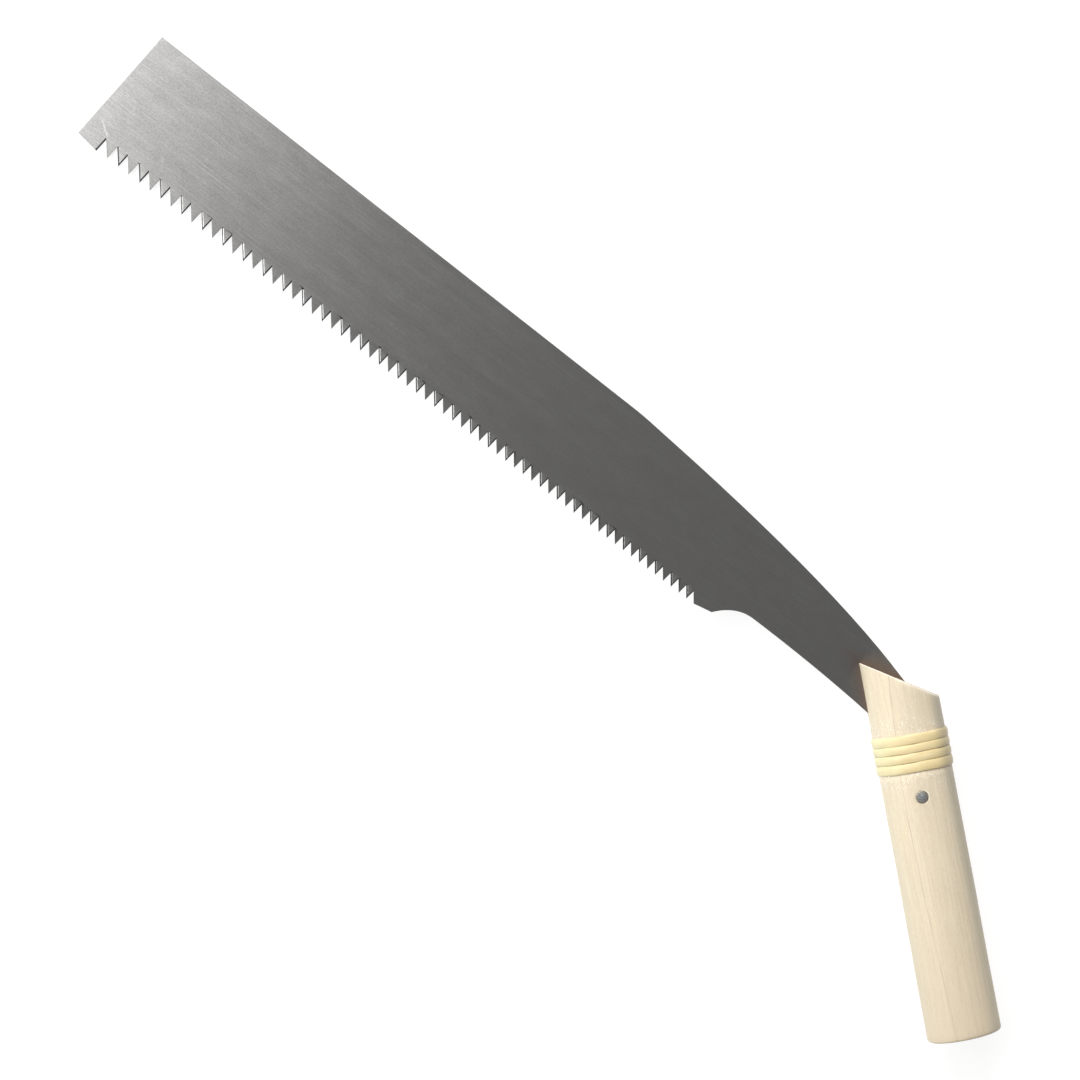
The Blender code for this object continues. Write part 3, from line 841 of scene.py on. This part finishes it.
    # Painted highlight on the broken rims of the ends, where they face partly up the stick
    rim_highlight = finish.times(finish.spread(facing, 0.12, 0.30), finish.spread(facing, 0.55, 0.80, 1.0, 0.0))
    speck = finish.noise((0.35 * MM, 0.35 * MM, 5 * MM), detail=3, shift=(0.2, 0.2, 0.2))
    ends = finish.mix(finish.times(late, 0.6), (0.640, 0.525, 0.370), (0.480, 0.365, 0.240))
    ends = finish.mix(finish.spread(speck, 0.45, 0.7, 0.0, 0.4), ends, (0.500, 0.380, 0.250))
    colour = finish.mix(finish.times(rim_highlight, 0.85), colour, (0.930, 0.885, 0.790))
    finish.set("Base Color", finish.mix(end_grain, colour, ends))
    finish.set("Roughness", finish.spread(fibre, 0.3, 0.7, 0.50, 0.64))
    relief = finish.math("ADD", fibre, finish.times(nap, 0.5))
    relief = finish.math("SUBTRACT", relief, finish.times(pores, 0.6))
    saw_marks = finish.noise((9 * MM, 0.35 * MM, 9 * MM), detail=2, shift=(0.7, 0, 0))
    relief = finish.math("ADD", relief, finish.times(saw_marks, end_grain, 2.5))
    finish.set("Normal", finish.bump(relief, 0.030 * MM, finish.bump(ripple, 0.10 * MM)))
    return finish.material


def split_cane():
    """Glossy outer skin of rattan: long fibres along the strand, browner and darker at its thin edges, partly
    brown and partly painted shade, with painted light and shade across the stick.
    """
    finish = Finish("split_cane", 0.36, uv_map="along_and_across")
    fibre = finish.noise((12 * MM, 0.15 * MM, 1), detail=3)
    broad = finish.noise((9 * MM, 0.9 * MM, 1), detail=2, shift=(0.2, 0.1, 0))
    stain = finish.noise((5 * MM, 2.5 * MM, 1), detail=3, shift=(0.5, 0.3, 0))
    grain = finish.noise((0.5 * MM, 0.25 * MM, 1), detail=3, shift=(0.7, 0.6, 0))
    across = finish.separate(finish.coordinates)[1]
    from_middle = finish.math("ABSOLUTE", finish.math("SUBTRACT", across, TURN_PITCH * 0.47))
    ragged = finish.math("ADD", from_middle, finish.spread(stain, 0.3, 0.7, -0.12 * MM, 0.12 * MM))
    edge = finish.spread(ragged, 0.34 * TURN_PITCH, 0.47 * TURN_PITCH)
    place = finish.separate(finish.node("ShaderNodeTexCoord").outputs["Object"])[0]
    # The edges' dark brown is partly brown in the grooves and partly painted shade between the turns, much
    # stronger towards +X, the shaded side
    edge_brown_and_shade = finish.math("ADD", finish.spread(place, 8.5 * MM, 12.5 * MM, 0.14, 0.95),
                             finish.spread(grain, 0.40, 0.65, -0.15, 0.15))
    colour = finish.mix(finish.spread(broad, 0.3, 0.7), (0.722, 0.578, 0.303), (0.785, 0.652, 0.379))
    colour = finish.mix(finish.spread(fibre, 0.45, 0.75, 0.0, 0.34), colour, (0.570, 0.430, 0.195))
    colour = finish.mix(finish.spread(stain, 0.45, 0.8, 0.0, 0.36), colour, (0.610, 0.455, 0.210))
    colour = finish.mix(finish.spread(grain, 0.45, 0.75, 0.0, 0.18), colour, (0.920, 0.830, 0.560))
    colour = finish.mix(finish.times(edge, edge_brown_and_shade), colour, (0.400, 0.290, 0.130))
    # Painted light and shade across the stick: lighter towards the middle, darker at the +X edge, and painted
    # cool light towards -X
    painted_light_and_shade = finish.times(finish.spread(place, -4 * MM, 8 * MM, 1.03, 1.20),
                        finish.spread(place, 8 * MM, 14 * MM, 1.0, 0.64, smooth=True))
    pale = finish.spread(place, -5 * MM, -14 * MM)
    greener = finish.math("MULTIPLY_ADD", pale, 0.11, 1.0)
    bluer = finish.math("MULTIPLY_ADD", pale, 0.20, 1.0)
    finish.set("Base Color", finish.dim(colour, painted_light_and_shade, finish.times(painted_light_and_shade, greener), finish.times(painted_light_and_shade, bluer)))
    finish.set("Roughness", finish.spread(fibre, 0.3, 0.7, 0.30, 0.44))
    finish.set("Normal", finish.bump(fibre, 0.018 * MM, finish.bump(broad, 0.05 * MM)))
    return finish.material


def dark_steel():
    """Oiled dark steel, scraped bright in the middle of its hammered heads."""
    finish = Finish("dark_steel", 0.38, metallic=1.0)
    x, y, _ = finish.separate(finish.coordinates)
    blotch = finish.noise((0.75 * MM, 0.75 * MM, 0.75 * MM), detail=3)
    grain = finish.noise((0.48 * MM, 0.48 * MM, 0.48 * MM), detail=3, shift=(0.1, 0.2, 0.3))
    ragged = finish.math("ADD", finish.reach(x, y), finish.spread(blotch, 0.3, 0.7, -0.5 * MM, 0.5 * MM))
    worn = finish.spread(ragged, 1.3 * MM, 2.3 * MM, 1.0, 0.0, smooth=True)
    # The rim's brownish colour is partly brown oxide, partly painted light lifting the shade on the dome's
    # rim
    colour = finish.mix(worn, (0.415, 0.370, 0.285), (0.285, 0.297, 0.297))
    colour = finish.mix(finish.spread(grain, 0.50, 0.62, 0.0, 0.60), colour, (0.130, 0.130, 0.125))
    colour = finish.mix(finish.spread(grain, 0.45, 0.37, 0.0, 0.80), colour, (0.640, 0.665, 0.650))
    scraped = finish.times(finish.spread(blotch, 0.54, 0.60, 0.0, 0.50), worn)
    colour = finish.mix(scraped, colour, (0.640, 0.680, 0.670))
    finish.set("Base Color", colour)
    finish.set("Roughness", finish.spread(blotch, 0.3, 0.7, 0.48, 0.66))
    finish.set("Normal", finish.bump(grain, 0.035 * MM, finish.bump(blotch, 0.06 * MM)))
    return finish.material


def floor_paint():
    finish = Finish("floor_paint", 0.9)
    speckle = finish.noise((3 * MM, 3 * MM, 3 * MM), detail=2)
    finish.set("Base Color", finish.mix(speckle, (0.245, 0.245, 0.245), (0.255, 0.255, 0.255)))
    finish.set("Specular IOR Level", 0.1)
    finish.set("Emission Color", (1.0, 1.0, 1.0))
    finish.set("Emission Strength", FLOOR_GLOW)
    return finish.material


# ---------------------------------------------------------------- stage


def make_floor():
    half = 4.0
    bm = bmesh.new()
    bm.faces.new(add_row(bm, [(-half, -half, 0), (half, -half, 0), (half, half, 0), (-half, half, 0)]))
    mesh = bpy.data.meshes.new("floor")
    bm.to_mesh(mesh)
    bm.free()
    mesh.materials.append(floor_paint())
    floor = bpy.data.objects.new("floor", mesh)
    bpy.context.scene.collection.objects.link(floor)


def drawing_direction(turn, tilt):
    """World direction that leans from the plate's normal by tilt, towards turn in the plate's plane."""
    turn, tilt = math.radians(turn), math.radians(tilt)
    local = Vector((math.cos(turn) * math.sin(tilt), math.sin(turn) * math.sin(tilt), math.cos(tilt)))
    return DRAWING.to_3x3() @ local


def soft_panel(name, turn, tilt, distance, size, radiance):
    """A rectangular lamp that faces the plate. Its size is (in the plane of the lean, across it)."""
    towards = drawing_direction(turn, tilt)
    across = drawing_direction(turn + 90, 90)
    lamp = bpy.data.lights.new(name, "AREA")
    lamp.shape = "RECTANGLE"
    lamp.size, lamp.size_y = size
    lamp.energy = 4 * size[0] * size[1] * radiance
    panel = bpy.data.objects.new(name, lamp)
    bpy.context.scene.collection.objects.link(panel)
    aim = DRAWING @ Vector((*AIM, 0))
    panel.matrix_world = frame_matrix(across.cross(towards), across, towards, aim + towards * distance)


def make_lights():
    soft_panel("overhead_toe_side", turn=180, tilt=30, distance=2.0, size=(1.15, 1.9), radiance=2.30)
    soft_panel("window_left", turn=217, tilt=56, distance=2.2, size=(1.2, 1.4), radiance=2.7)
    soft_panel("window_beyond_spine", turn=138, tilt=50, distance=2.4, size=(1.4, 1.7), radiance=5.6)
    world = bpy.data.worlds.new("studio")
    bpy.context.scene.world = world
    world.use_nodes = True
    tree = world.node_tree
    place = tree.nodes.new("ShaderNodeTexCoord")
    parts = tree.nodes.new("ShaderNodeSeparateXYZ")
    tree.links.new(place.outputs["Generated"], parts.inputs[0])
    level = tree.nodes.new("ShaderNodeMapRange")
    level.interpolation_type = "SMOOTHSTEP"
    level.inputs["From Min"].default_value = WALL_TOP[0]
    level.inputs["From Max"].default_value = WALL_TOP[1]
    level.inputs["To Min"].default_value = WALL_LIGHT
    level.inputs["To Max"].default_value = CEILING_LIGHT
    tree.links.new(parts.outputs["Z"], level.inputs["Value"])
    tree.links.new(level.outputs[0], tree.nodes["Background"].inputs["Strength"])
    tree.nodes["Background"].inputs["Color"].default_value = (1.0, 1.0, 1.0, 1.0)


def make_camera():
    data = bpy.data.cameras.new("camera")
    data.sensor_width = SENSOR
    data.lens = SENSOR * VIEW_DISTANCE / VIEW_WIDTH
    camera = bpy.data.objects.new("camera", data)
    bpy.context.scene.collection.objects.link(camera)
    turn = Matrix.Rotation(VIEW_TURN, 4, "Z")
    camera.matrix_world = DRAWING @ Matrix.Translation((*VIEW_POINT, VIEW_DISTANCE)) @ turn
    bpy.context.scene.camera = camera


make_camera()
make_floor()
make_lights()
bpy.context.scene.view_settings.view_transform = "Standard"
make_blade([
    ground_steel("ground_steel"),
    # The first two filed finishes are near black: painted shade in the notches
    filed_steel("filed_steel_painted_shade", FILED_PAINTED_SHADE, roughness=0.5, edge_tint=0.3, burnished=0.62),
    filed_steel("filed_steel", FILED_DULL_PAINTED_SHADE, roughness=0.45, edge_tint=0.40),
    filed_steel("filed_ridge", BRIGHT_FILED, roughness=0.34, at_toe=0.18, at_heel=0.42),
    ground_steel("ground_tooth", filed_bright=0.42),
])
make_handle([pale_wood()])
make_binding([split_cane()])
make_rivet([dark_steel()])
